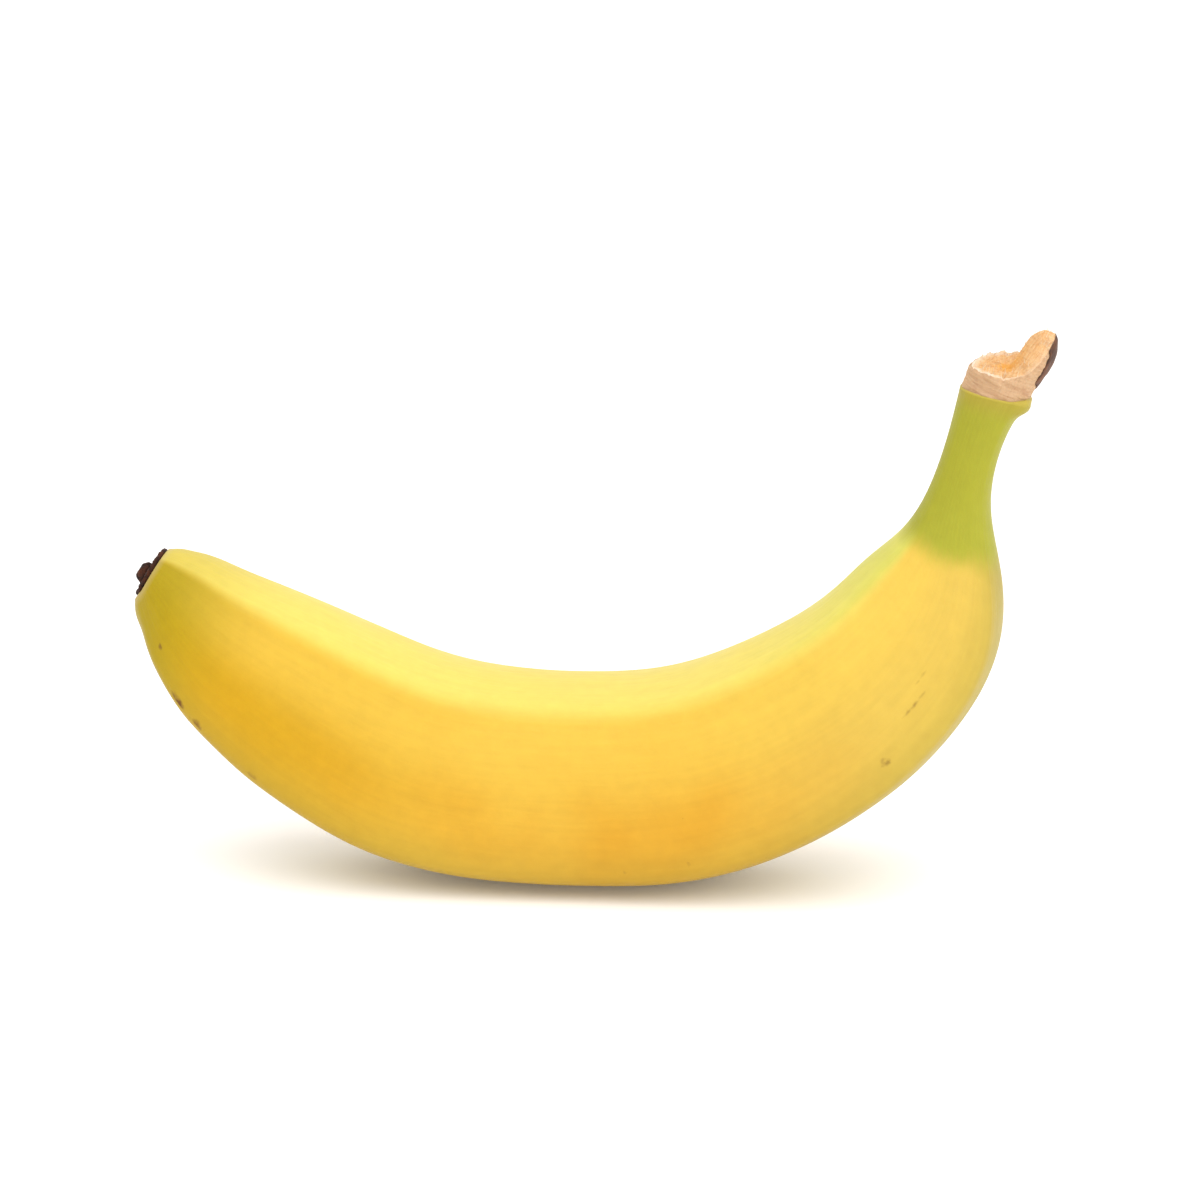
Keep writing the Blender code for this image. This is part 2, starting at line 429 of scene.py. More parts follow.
# Zones of colour on the peel, laid over one another in turn; those keyed to which way the faces look hold
# painted light and shade. Each follows a value stored on the peel from where it starts to where it ends,
# with its strength at both, and may be held to some of the faces.
Zone = namedtuple(
    "Zone", "follows start end at_start at_end colour ramp held", defaults=("SMOOTHSTEP", None)
)
PEEL_ZONES = (
    # The blossom half is a deeper, greener gold, and the stem half a paler one.
    Zone("along", 0.12, 0.42, 0.85, 0.0, "#CE9F06"),
    Zone("along", 0.52, 0.74, 0.0, 0.9, "#D7B750"),
    # Painted light: each flank is lighter just under its upper ridge, where it turns up towards the light
    # overhead.
    Zone("top", -0.1, 0.55, 0.0, 0.6, "#E8C24C"),
    # The inner face is more lemon, which is the peel's own tint, and paler, which is partly painted light
    # where it faces the light overhead; this reaches out to the two ridges beside it.
    Zone("top", 0.68, 0.83, 0.0, 1.0, "#E9D364"),
    # The belly is a little olive, which is the peel's own tint, and darker, which is painted shade where it
    # faces the floor.
    Zone("top", -0.95, -0.22, 0.85, 0.0, "#A8983A"),
    # Green left at the stem: faint on the inner face, and full where the shoulder draws in.
    Zone("wandering", 0.62, 0.88, 0.0, 0.75, "#CBCB58", held="inner face"),
    Zone("wandering", 0.866, 0.896, 0.0, 1.0, "#A6A42E"),
    # The collar is browner, down to a thin yellow line where the skin ends at the tear.
    Zone("along", 0.975, 0.997, 0.0, 0.65, "#B09A3C"),
    Zone("along", 0.9955, 0.998, 0.0, 0.7, "#D6BC55", ramp="LINEAR"),
    # Olive at the blossom end, least on the inner face, and a pale corky line round the scar.
    Zone("along", 0.01, 0.13, 0.9, 0.0, "#AA9404", held="outer faces"),
    Zone("along", 0.002, 0.008, 0.5, 0.0, "#C9B482", ramp="LINEAR"),
)


def start_material(name):
    """A new material. Returns it, its tree, its shader, and what gives the place on the object."""
    material = bpy.data.materials.new(name)
    material.use_nodes = True
    tree = material.node_tree
    spot = add_node(tree, "ShaderNodeTexCoord").node.outputs["Object"]
    return material, tree, tree.nodes["Principled BSDF"], spot


def set_sockets(shader, values):
    """Gives the shader's own sockets their values."""
    for name, value in values.items():
        shader.inputs[name].default_value = value


def two_tones(tree, pattern, low, high, dark, light):
    """A noise pattern stretched between low and high, and its colour between a dark and a light one."""
    share = add_node(tree, "ShaderNodeTexNoise", pattern)
    share = add_node(tree, "ShaderNodeMapRange", {"Value": share, "From Min": low, "From Max": high})
    tones = {"Factor": share, 6: linear(dark), 7: linear(light)}
    return share, add_node(tree, "ShaderNodeMix", tones, data_type="RGBA")


def read_stored(tree, names):
    """What gives each value that is stored on the points."""
    readers = {name: add_node(tree, "ShaderNodeAttribute", attribute_name=name) for name in names}
    return {name: reader.node.outputs["Fac"] for name, reader in readers.items()}


def peel_material():
    """Ripe banana peel, as grown. The eye sees lemon yellow on the inner face and a deeper gold on the
    sides, green left at the stem and the tip, a few freckles and rubs, and the soft sheen of its wax.
    Painted light also pales the inner face and the upper flanks, and painted shade darkens the belly."""
    material, tree, shader, spot = start_material("ripe banana peel with natural wax")
    stored = read_stored(tree, ("along", "side", "top", "rubbed"))

    # Patches of deeper gold, about 20 mm across.
    patches = {"Vector": spot, "Scale": 38.0, "Detail": 2.0}
    _, colour = two_tones(tree, patches, 0.38, 0.66, "#E1B33C", "#DBA32B")

    # Streaks along the fruit: the pattern is laid out by angle and length, so it follows the bend.
    laid_out = add_node(
        tree, "ShaderNodeCombineXYZ", {"X": stored["side"], "Y": stored["top"], "Z": stored["along"]}
    )
    streaks = add_node(
        tree, "ShaderNodeVectorMath", {0: laid_out, 1: (18.0, 18.0, 14.0)}, operation="MULTIPLY"
    )
    streaks = add_node(tree, "ShaderNodeTexNoise", {"Vector": streaks, "Scale": 1.0, "Detail": 4.0})

    # The stem's green has an edge that wanders, in lobes about 10 mm across and in the streaks.
    wander = add_node(tree, "ShaderNodeTexNoise", {"Vector": spot, "Scale": 90.0, "Detail": 2.0})
    wandering = add_node(
        tree, "ShaderNodeMath", {0: wander, 1: 0.03, 2: stored["along"]}, operation="MULTIPLY_ADD"
    )
    stored["wandering"] = add_node(
        tree, "ShaderNodeMath", {0: streaks, 1: 0.010, 2: wandering}, operation="MULTIPLY_ADD"
    )
    stored["inner face"] = add_node(
        tree,
        "ShaderNodeMapRange",
        {"Value": stored["top"], "From Min": 0.68, "From Max": 0.83},
        interpolation_type="SMOOTHSTEP",
    )
    stored["outer faces"] = add_node(
        tree, "ShaderNodeMath", {0: stored["inner face"], 1: -0.6, 2: 1.0}, operation="MULTIPLY_ADD"
    )

    for zone in PEEL_ZONES:
        share = add_node(
            tree,
            "ShaderNodeMapRange",
            {
                "Value": stored[zone.follows],
                "From Min": zone.start,
                "From Max": zone.end,
                "To Min": zone.at_start,
                "To Max": zone.at_end,
            },
            interpolation_type=zone.ramp,
        )
        if zone.held:
            share = add_node(tree, "ShaderNodeMath", {0: share, 1: stored[zone.held]}, operation="MULTIPLY")
        colour = add_node(
            tree, "ShaderNodeMix", {"Factor": share, 6: colour, 7: linear(zone.colour)}, data_type="RGBA"
        )

    # Fine mottle and streaks, a few per cent of brightness, and the roughness of the wax.
    mottle = add_node(tree, "ShaderNodeTexNoise", {"Vector": spot, "Scale": 420.0, "Detail": 4.0})
    mottle, fine, polish = (
        add_node(
            tree,
            "ShaderNodeMapRange",
            {"Value": pattern, "From Min": 0.3, "From Max": 0.7, "To Min": least, "To Max": most},
        )
        for pattern, least, most in ((mottle, 0.825, 0.872), (streaks, 0.97, 1.02), (wander, 0.40, 0.50))
    )
    shade = add_node(tree, "ShaderNodeMath", {0: mottle, 1: fine}, operation="MULTIPLY")
    colour = add_node(tree, "ShaderNodeVectorMath", {0: colour, "Scale": shade}, operation="SCALE")

    # Freckles: a few cells of a 3.5 mm pattern hold one dot each.
    freckles = add_node(tree, "ShaderNodeTexVoronoi", {"Vector": spot, "Scale": 280.0})
    chosen = add_node(tree, "ShaderNodeSeparateColor", {0: freckles.node.outputs["Color"]})
    size = add_node(
        tree, "ShaderNodeMapRange", {"Value": chosen, "From Min": 0.955, "From Max": 1.0, "To Max": 0.11}
    )
    freckle = add_node(tree, "ShaderNodeMath", {0: size, 1: freckles}, operation="SUBTRACT")
    freckle = add_node(
        tree, "ShaderNodeMapRange", {"Value": freckle, "From Min": 0.0, "From Max": 0.03, "To Max": 0.7}
    )
    colour = add_node(
        tree, "ShaderNodeMix", {"Factor": freckle, 6: colour, 7: linear("#7A4E1C")}, data_type="RGBA"
    )

    # Rubs and bruises break up into fine brown grain.
    grain = add_node(tree, "ShaderNodeTexNoise", {"Vector": spot, "Scale": 900.0, "Detail": 3.0})
    rub = add_node(tree, "ShaderNodeMath", {0: grain, 1: stored["rubbed"]}, operation="MULTIPLY")
    rub = add_node(tree, "ShaderNodeMapRange", {"Value": rub, "From Min": 0.12, "From Max": 0.5})
    colour = add_node(
        tree, "ShaderNodeMix", {"Factor": rub, 6: colour, 7: linear("#6E4A22")}, data_type="RGBA"
    )
    tree.links.new(colour, shader.inputs["Base Color"])

    # Wax: satin, duller where it is rubbed.
    polish = add_node(tree, "ShaderNodeMath", {0: rub, 1: 0.3, 2: polish}, operation="MULTIPLY_ADD")
    tree.links.new(polish, shader.inputs["Roughness"])
    set_sockets(
        shader,
        {
            "IOR": 1.45,
            "Specular IOR Level": 0.2,
            "Subsurface Weight": 0.08,
            "Subsurface Radius": (1.0, 0.55, 0.15),
            "Subsurface Scale": 0.003,
        },
    )

    # Pores and the ends of fibres under the skin, drawn a little coarser than the real 0.2 mm so that they
    # show.
    pores = add_node(tree, "ShaderNodeTexNoise", {"Vector": spot, "Scale": 1400.0, "Detail": 2.0})
    relief = add_node(tree, "ShaderNodeMath", {0: streaks, 1: 2.0, 2: pores}, operation="MULTIPLY_ADD")
    relief = add_node(tree, "ShaderNodeMath", {0: mottle, 1: 6.0, 2: relief}, operation="MULTIPLY_ADD")
    bump = add_node(tree, "ShaderNodeBump", {"Height": relief, "Strength": 0.35, "Distance": 0.00012})
    tree.links.new(bump, shader.inputs["Normal"])
    return material


peel = grow(spine_object(), peel_tree(), {**PEEL_SHAPE, "Material": peel_material()}, "banana_peel")
face_outwards(peel)
swell_lips(peel, LIPS)
paint_marks(peel, RUBS, "rubbed")
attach(peel, "root")
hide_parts("banana")

# ---------------------------------------------------------------------------------------------------------
# The torn end of the stem: pale corky tissue left standing above the skin, where the fruit was torn off its
# bunch. It is low towards the inside of the bend, runs up into a tongue on the outside, and is scooped
# between them. The tissue is fibrous and has dried in the air.
# ---------------------------------------------------------------------------------------------------------
STUB_TURN = math.radians(-67)
STUB_AT = spine_point(69.0, 86.5)
STUB_AXIS = Vector((math.cos(STUB_TURN), 0.0, -math.sin(STUB_TURN)))
STUB_INNER = Vector((math.sin(STUB_TURN), 0.0, math.cos(STUB_TURN)))
STEM_UPRIGHT = (0.0, math.radians(-23), 0.0)  # turns a pattern's Z along the stem
STUB_SUNK, STUB_SUNK_MORE = 0.85, 1.15  # how far it reaches down inside the skin, and how much that differs
STUB_AROUND, STUB_WALL_ROWS, STUB_FACE_ROWS = 220, 28, 46
STUB_RADIUS = 5.65
CORE_HEIGHT = 4.3  # mm
RIM_ROUND = 0.35  # how far the wall draws in at the rim, mm
RAGGED_AT = 5.0  # radius at which the noise round the stem is read, mm

# Height of the torn rim above the skin's end, mm, by the angle round the stem: 0 is the inside of the bend,
# 90 the back, 180 the outside.
RIM_ANGLES = (0, 40, 80, 108, 116, 122, 135, 150, 180, 204, 222, 240, 270, 315, 360)
RIM_HEIGHTS = (2.4, 3.8, 5.9, 7.1, 7.8, 11.3, 12.2, 12.6, 12.8, 11.7, 8.4, 5.0, 3.1, 2.5, 2.4)


def roughness_at(point, scale, seed):
    """Smooth noise between -1 and 1 at a place given in mm."""
    return noise.noise(Vector(point) * scale + Vector((seed, 0.0, 0.0)))


def on_ring(angle, height):
    """Where the noise round the stem is read, for an angle in degrees and a height in mm."""
    turn = math.radians(angle)
    return (math.cos(turn) * RAGGED_AT, math.sin(turn) * RAGGED_AT, height)


def rim_height(angle):
    """Height of the torn rim at an angle in degrees, with its ragged edge."""
    smooth = np.mean([np.interp((angle + off) % 360, RIM_ANGLES, RIM_HEIGHTS) for off in (-4, 0, 4)])
    ragged = roughness_at(on_ring(angle, 0.0), 0.9, 3.0)
    splinter = roughness_at(on_ring(angle, 9.0), 3.4, 8.0)
    return smooth + 0.35 * ragged + 0.22 * splinter


def stub_radius(height):
    """The stub's radius in mm at a height above the skin's end."""
    swell = 0.3 * smooth_rise(height, 0.0, 3.0) + 0.45 * smooth_rise(height, 3.0, 8.0)
    return STUB_RADIUS + swell - 0.9 * smooth_rise(height, 9.0, 13.5)


def stub_point(angle, radius, height):
    """A place in metres from the stub's own angle in degrees, radius and height in mm."""
    turn = math.radians(angle)
    flat = STUB_INNER * (math.cos(turn) * radius) + Vector((0.0, math.sin(turn) * radius, 0.0))
    return STUB_AT + (flat + STUB_AXIS * height) * SIZE


def ring_mesh(name, rings, closed_ends, values, material):
    """A smooth mesh from rings of points, each ring joined to the next. values are stored on the points."""
    around = len(rings[0])
    points = [point for ring in rings for point in ring]
    faces = []
    for row in range(len(rings) - 1):
        for i in range(around):
            a, b = row * around + i, row * around + (i + 1) % around
            faces.append((a, b, b + around, a + around))
    if closed_ends:
        faces += [tuple(range(around)), tuple(range(len(points) - around, len(points)))]
    mesh = bpy.data.meshes.new(name)
    mesh.from_pydata(points, [], faces)
    for key, stored in values.items():
        attribute = mesh.attributes.new(key, "FLOAT", "POINT")
        attribute.data.foreach_set("value", np.asarray(stored, np.float32))
    mesh.materials.append(material)
    mesh.polygons.foreach_set("use_smooth", [True] * len(mesh.polygons))
    piece = put_in_scene(name, mesh)
    face_outwards(piece)
    return piece


def torn_end(material):
    """The wall from inside the skin up to the rim, then the scooped torn face down to its core."""
    angles = [360 * i / STUB_AROUND for i in range(STUB_AROUND)]
    rims = [rim_height(angle) for angle in angles]
    rings, inside, reach, tongue = [], [], [], []
    for row in range(STUB_WALL_ROWS):
        share = row / (STUB_WALL_ROWS - 1)
        ring = []
        for angle, rim in zip(angles, rims):
            turn = math.radians(angle)
            sunk = STUB_SUNK + STUB_SUNK_MORE * math.cos(turn)
            height = -sunk + (rim + sunk) * share
            radius = stub_radius(height) - RIM_ROUND * smooth_rise(share, 0.9, 1.0) - 0.5 * (share == 0)
            wrinkle = roughness_at(on_ring(angle, height * 2.6), 0.55, 1.0)
            grain = roughness_at(on_ring(angle, height * 0.5), 2.2, 5.0)
            radius += 0.16 * wrinkle + 0.07 * grain
            ring.append(stub_point(angle, radius, height))
            inside.append(0.0)
            reach.append(1.0)
            tongue.append(0.5 - 0.5 * math.cos(turn))
        rings.append(ring)
    for row in range(1, STUB_FACE_ROWS + 1):
        share = 1 - row / STUB_FACE_ROWS
        ring = []
        for angle, rim in zip(angles, rims):
            turn = math.radians(angle)
            outside = max(0.0, -math.cos(turn)) ** 0.7
            steep = smooth_rise(share, 0.10, 0.62)
            climb = share**1.25 * (1 - outside) + steep * outside
            height = CORE_HEIGHT + (rim - CORE_HEIGHT) * climb
            radius = (stub_radius(rim) - RIM_ROUND) * share
            along_slope, across_slope = radius * math.cos(turn), radius * math.sin(turn)
            fibre = roughness_at((along_slope * 0.35, across_slope * 1.9, height * 0.15), 1.0, 11.0)
            crumb = roughness_at((along_slope, across_slope, height), 1.3, 21.0)
            height += (0.30 * fibre + 0.14 * crumb) * smooth_rise(share, 0.0, 0.1)
            ring.append(stub_point(angle, radius, height))
            inside.append(1.0)
            reach.append(share)
            tongue.append(0.5 - 0.5 * math.cos(turn) * share)
        rings.append(ring)
    values = {"inside": inside, "reach": reach, "tongue": tongue}
    piece = ring_mesh("stem_torn_end", rings, True, values, material)
    face_outwards(piece, MERGE)
    return piece


def torn_material():
    """Torn plant tissue, air-dried. The eye sees a pinkish cork band, a peach scoop that is deepest in
    colour at its core, paler ragged edges, and fine fibres that run up the tongue. It has no shine."""
    material, tree, shader, spot = start_material("torn banana stem tissue, air-dried")
    stored = read_stored(tree, ("inside", "reach", "tongue"))
    upright = add_node(tree, "ShaderNodeMapping", {"Vector": spot, "Rotation": STEM_UPRIGHT})

    # The cork band: thin level lines round the stem, about 0.4 mm apart.
    level = add_node(tree, "ShaderNodeMapping", {"Vector": upright, "Scale": (260.0, 260.0, 2200.0)})
    lines = {"Vector": level, "Scale": 1.0, "Detail": 3.0}
    lines, band = two_tones(tree, lines, 0.3, 0.7, "#B58F6B", "#C9A681")

    # The scoop: fibres about 0.3 mm apart, run with the stem.
    drawn = add_node(tree, "ShaderNodeMapping", {"Vector": upright, "Scale": (2300.0, 2300.0, 330.0)})
    fibres = {"Vector": drawn, "Scale": 1.0, "Detail": 3.0}
    fibres, scoop = two_tones(tree, fibres, 0.32, 0.68, "#CF985F", "#DFB886")
    core = add_node(
        tree,
        "ShaderNodeMapRange",
        {"Value": stored["reach"], "From Min": 0.10, "From Max": 0.50, "To Min": 0.85, "To Max": 0.0},
        interpolation_type="SMOOTHSTEP",
    )
    scoop = add_node(
        tree, "ShaderNodeMix", {"Factor": core, 6: scoop, 7: linear("#DA9A3E")}, data_type="RGBA"
    )
    edge = add_node(
        tree,
        "ShaderNodeMapRange",
        {"Value": stored["reach"], "From Min": 0.72, "From Max": 1.0, "To Max": 0.8},
        interpolation_type="SMOOTHSTEP",
    )
    inner_side = add_node(tree, "ShaderNodeMath", {0: 1.1, 1: stored["tongue"]}, operation="SUBTRACT")
    edge = add_node(tree, "ShaderNodeMath", {0: edge, 1: inner_side}, operation="MULTIPLY")
    scoop = add_node(
        tree, "ShaderNodeMix", {"Factor": edge, 6: scoop, 7: linear("#E8D8C4")}, data_type="RGBA"
    )
    colour = add_node(
        tree, "ShaderNodeMix", {"Factor": stored["inside"], 6: band, 7: scoop}, data_type="RGBA"
    )

    # Brown bruises in the cork, 1 to 2 mm across.
    bruise = add_node(tree, "ShaderNodeTexNoise", {"Vector": spot, "Scale": 520.0, "Detail": 2.0})
    bruise = add_node(
        tree, "ShaderNodeMapRange", {"Value": bruise, "From Min": 0.56, "From Max": 0.72, "To Max": 0.35}
    )
    colour = add_node(
        tree, "ShaderNodeMix", {"Factor": bruise, 6: colour, 7: linear("#A06E4E")}, data_type="RGBA"
    )
    tree.links.new(colour, shader.inputs["Base Color"])
    set_sockets(
        shader,
        {
            "Roughness": 0.8,
            "Specular IOR Level": 0.3,
            "Subsurface Weight": 0.12,
            "Subsurface Radius": (1.0, 0.6, 0.3),
            "Subsurface Scale": 0.0015,
        },
    )
    relief = add_node(tree, "ShaderNodeMath", {0: fibres, 1: lines}, operation="ADD")
    bump = add_node(tree, "ShaderNodeBump", {"Height": relief, "Strength": 0.7, "Distance": 0.00018})
    tree.links.new(bump, shader.inputs["Normal"])
    return material


torn_stem = torn_end(torn_material())
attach(torn_stem, "root")
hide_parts("banana")

# ---------------------------------------------------------------------------------------------------------
# Loose fibres on the torn end: strands of the stem's tissue that pulled out as it tore, a millimetre or so
# long, stiff and dry.
# ---------------------------------------------------------------------------------------------------------
FIBRES = {
    "Fibres per square metre": 1.6e6,
    "Fibre length": 1.1 * SIZE,
    "Fibre radius": 0.055 * SIZE,
    "Seed": 4,
}
FIBRE_LEAN = 0.55  # radians either way
ANY_TURN = 6.28  # radians, a whole turn


def fibre_tree():
    """Geometry Nodes that stand short tapered strands on the torn face, leaning with the stem."""
    tree, given = open_tree("torn fibres", "Torn end", FIBRES)

    # They stand mostly near the torn edge.
    inside = add_node(tree, "GeometryNodeInputNamedAttribute", {"Name": "inside"})
    reach = add_node(tree, "GeometryNodeInputNamedAttribute", {"Name": "reach"})
    near_edge = add_node(
        tree, "ShaderNodeMapRange", {"Value": reach, "From Min": 0.45, "From Max": 0.95, "To Min": 0.12}
    )
    near_edge = add_node(tree, "ShaderNodeMath", {0: near_edge, 1: inside}, operation="MULTIPLY")
    density = add_node(
        tree, "ShaderNodeMath", {0: near_edge, 1: given["Fibres per square metre"]}, operation="MULTIPLY"
    )
    points = add_node(
        tree,
        "GeometryNodeDistributePointsOnFaces",
        {"Mesh": given["Torn end"], "Density": density, "Seed": given["Seed"]},
    )
    strand = add_node(
        tree,
        "GeometryNodeMeshCone",
        {
            "Vertices": 5,
            "Side Segments": 3,
            "Radius Top": 0.00001,
            "Radius Bottom": given["Fibre radius"],
            "Depth": given["Fibre length"],
        },
    )
    lean = add_node(
        tree,
        "FunctionNodeRandomValue",
        {
            "Min": (-FIBRE_LEAN, -FIBRE_LEAN, 0.0),
            "Max": (FIBRE_LEAN, FIBRE_LEAN, ANY_TURN),
            "Seed": given["Seed"],
        },
        data_type="FLOAT_VECTOR",
    )
    along_stem = add_node(
        tree,
        "FunctionNodeRotateEuler",
        {"Rotation": lean, "Rotate By": (0.0, math.pi / 2 + STUB_TURN, 0.0)},
    )
    size = add_node(
        tree, "FunctionNodeRandomValue", {"Min": 0.3, "Max": 1.25, "Seed": given["Seed"]}, data_type="FLOAT"
    )
    strands = add_node(
        tree,
        "GeometryNodeInstanceOnPoints",
        {"Points": points, "Instance": strand, "Rotation": along_stem, "Scale": size},
    )
    return close_tree(tree, strands, given["Material"])


def fibre_material():
    """Dry plant fibre, pulled out: straw-pale and matt, a little darker in places."""
    material, tree, shader, spot = start_material("dry stem fibre, pulled out")
    _, tone = two_tones(tree, {"Vector": spot, "Scale": 700.0}, 0.0, 1.0, "#CCAE83", "#E6D5BA")
    tree.links.new(tone, shader.inputs["Base Color"])
    set_sockets(shader, {"Roughness": 0.75, "Specular IOR Level": 0.3})
    return material


fibre_source = put_in_scene("fibre source", torn_stem.data.copy())
fibres = grow(fibre_source, fibre_tree(), {**FIBRES, "Material": fibre_material()}, "stem_fibres")
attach(fibres, "root")

# ---------------------------------------------------------------------------------------------------------
# The crown skin: a strip of the bunch's own skin left on the outside of the tongue. It has dried dark brown
# and thin, and its edge curls over the top.
# ---------------------------------------------------------------------------------------------------------
CROWN_FROM, CROWN_TO = 132.0, 213.0  # degrees round the stem
CROWN_LOW = 3.0  # its lower edge above the skin's end, mm
CROWN_THICK, CROWN_SUNK, CROWN_CURL = 0.42, 0.35, 0.4  # outside and inside the wall, and over its top, mm
CROWN_COLUMNS, CROWN_ROWS = 44, 40


def crown_skin(material):
    """A lens-shaped sheet on the tongue: an outer and an inner layer that meet at their edges."""
    layers = []
    for proud, sunk in ((CROWN_THICK, 0.0), (0.0, CROWN_SUNK)):
        rows = []
        for row in range(CROWN_ROWS + 1):
            up = row / CROWN_ROWS
            ring = []
            for column in range(CROWN_COLUMNS + 1):
                aside = column / CROWN_COLUMNS
                angle = CROWN_FROM + (CROWN_TO - CROWN_FROM) * aside
                top = rim_height(angle) + 0.05
                ragged = roughness_at((aside * 9, 0.0, 4.0), 1.0, 31.0)
                bottom = min(CROWN_LOW + 0.5 * ragged + 5.5 * abs(aside - 0.45) ** 2, top - 1.5)
                height = bottom + (top - bottom) * up
                inward = math.sin(math.pi * aside) ** 0.35 * math.sin(math.pi * min(up, 0.999)) ** 0.35
                bumpy = 1 + 0.35 * roughness_at((aside * 8, up * 6, 0.0), 1.0, 41.0)
                curl = CROWN_CURL * smooth_rise(up, 0.92, 1.0)
                radius = stub_radius(height) + proud * inward * bumpy - sunk * inward - curl + 0.04
                ring.append(stub_point(angle, radius, height))
            rows.append(ring)
        layers.append(rows)
    mesh = bpy.data.meshes.new("stem_crown_skin")
    bm = bmesh.new()
    for rows in layers:
        grid = [[bm.verts.new(point) for point in ring] for ring in rows]
        for low, high in zip(grid, grid[1:]):
            for i in range(CROWN_COLUMNS):
                bm.faces.new((low[i], low[i + 1], high[i + 1], high[i]))
    bmesh.ops.remove_doubles(bm, verts=bm.verts, dist=2 * MERGE)
    bmesh.ops.recalc_face_normals(bm, faces=bm.faces)
    for face in bm.faces:
        face.smooth = True
    bm.to_mesh(mesh)
    bm.free()
    mesh.materials.append(material)
    return put_in_scene("stem_crown_skin", mesh)


def crown_material():
    """Banana crown skin, dried: dark brown, with lighter scuffs and fine cracks along it."""
    material, tree, shader, spot = start_material("dried banana crown skin")
    drawn = add_node(
        tree,
        "ShaderNodeMapping",
        {"Vector": spot, "Rotation": STEM_UPRIGHT, "Scale": (900.0, 900.0, 260.0)},
    )
    cracks = {"Vector": drawn, "Scale": 1.0, "Detail": 4.0}
    cracks, colour = two_tones(tree, cracks, 0.34, 0.68, "#3A1D0B", "#70401B")
    tree.links.new(colour, shader.inputs["Base Color"])
    set_sockets(shader, {"Roughness": 0.62})
    bump = add_node(tree, "ShaderNodeBump", {"Height": cracks, "Strength": 0.6, "Distance": 0.0002})
    tree.links.new(bump, shader.inputs["Normal"])
    return material


crown = crown_skin(crown_material())
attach(crown, "root")

# ---------------------------------------------------------------------------------------------------------
# The blossom scar: where the flower dried and fell away. It is a dark crusty disc of dead tissue, dished
# and with a ragged edge, at the blunt end of the peel that it grew from.
# ---------------------------------------------------------------------------------------------------------
TIP_TURN = math.radians(SECTIONS[0].turn)
TIP_AT = spine_point(SECTIONS[0].along, SECTIONS[0].up)
TIP_OUT = Vector((-math.cos(TIP_TURN), 0.0, math.sin(TIP_TURN)))
TIP_UP = Vector((math.sin(TIP_TURN), 0.0, math.cos(TIP_TURN)))
SCAR_RADIUS = 4.75
SCAR_AROUND, SCAR_ROWS = 128, 30


def tip_point(angle, radius, out):
    """A place in metres from an angle in degrees, a radius and a distance out of the tip, in mm."""
    turn = math.radians(angle)
    flat = TIP_UP * (math.sin(turn) * radius) + Vector((0.0, math.cos(turn) * radius, 0.0))
    return TIP_AT + (flat + TIP_OUT * out) * SIZE


def blossom_scar(material):
    """The disc: its back inside the peel, its ragged edge, then its crusty dished face."""
    profile = [(0.05, -1.0), (0.6, -1.0), (0.92, -0.6), (1.0, -0.1)]  # radius share and distance out, mm
    for row in range(SCAR_ROWS + 1):
        share = 1 - row / SCAR_ROWS
        dish = 0.35 * math.exp(-(((share - 0.84) / 0.16) ** 2)) + 0.2 * math.exp(-((share / 0.35) ** 2))
        profile.append((0.985 * share + 0.004, 0.15 + dish))
    rings = []
    for share, out in profile:
        ring = []
        for i in range(SCAR_AROUND):
            angle = 360 * i / SCAR_AROUND
            turn = math.radians(angle)
            ragged = roughness_at((math.cos(turn) * 3, math.sin(turn) * 3, 0.0), 0.8, 51.0)
            radius = SCAR_RADIUS * share * (1 + 0.09 * ragged * share)
            spot = (math.cos(turn) * radius, math.sin(turn) * radius, 0.0)
            crust = 0.26 * roughness_at(spot, 0.9, 61.0) + 0.2 * roughness_at(spot, 2.4, 71.0)
            ring.append(tip_point(angle, radius, out + (crust if out > 0 else 0.0)))
        rings.append(ring)
    return ring_mesh("blossom_scar", rings, True, {}, material)


def scar_material():
    """Dried blossom tissue, weathered: near black in its hollows, brown on its crumbs, with no shine."""
    material, tree, shader, spot = start_material("dried blossom crust")
    crumbs = {"Vector": spot, "Scale": 850.0, "Detail": 4.0}
    crumbs, colour = two_tones(tree, crumbs, 0.36, 0.7, "#1F0D06", "#542A14")
    tree.links.new(colour, shader.inputs["Base Color"])
    set_sockets(shader, {"Roughness": 0.7, "Specular IOR Level": 0.2})
    bump = add_node(tree, "ShaderNodeBump", {"Height": crumbs, "Strength": 0.8, "Distance": 0.00025})
    tree.links.new(bump, shader.inputs["Normal"])
    return material


crust = scar_material()
scar = blossom_scar(crust)
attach(scar, "root")
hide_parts("banana")

# ---------------------------------------------------------------------------------------------------------
# The flower's stub: the base of the flower, shrunk to a hard brown knob in the middle of the scar, with a
# small pit where the rest broke off.
# ---------------------------------------------------------------------------------------------------------
KNOB_RADIUS, KNOB_PROUD, KNOB_LOW = 1.8, 0.8, 0.6  # mm, the last below the scar's middle
KNOB_FLAT = 0.85
KNOB_AROUND, KNOB_ROWS = 48, 26


def flower_stub(material):
    """A lumpy ball, flattened along the fruit, with a pit at its outer end."""
    rings = []
    for row in range(KNOB_ROWS + 1):
        polar = math.pi * (0.02 + 0.96 * row / KNOB_ROWS)
        ring = []
        for i in range(KNOB_AROUND):
            turn = 2 * math.pi * i / KNOB_AROUND
            way = (math.sin(polar) * math.cos(turn), math.sin(polar) * math.sin(turn), math.cos(polar))
            lump = 1 + 0.16 * roughness_at(way, 1.6, 81.0) + 0.07 * roughness_at(way, 4.5, 91.0)
            pit = 0.12 * math.exp(-((polar / 0.42) ** 2))
            radius = KNOB_RADIUS * (lump - pit)
            out = KNOB_PROUD + way[2] * radius * KNOB_FLAT
            place = TIP_UP * (way[1] * radius - KNOB_LOW) + Vector((0.0, way[0] * radius, 0.0))
            ring.append(TIP_AT + (place + TIP_OUT * out) * SIZE)
        rings.append(ring)
    return ring_mesh("flower_stub", rings, True, {}, material)


stub = flower_stub(crust)
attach(stub, "root")

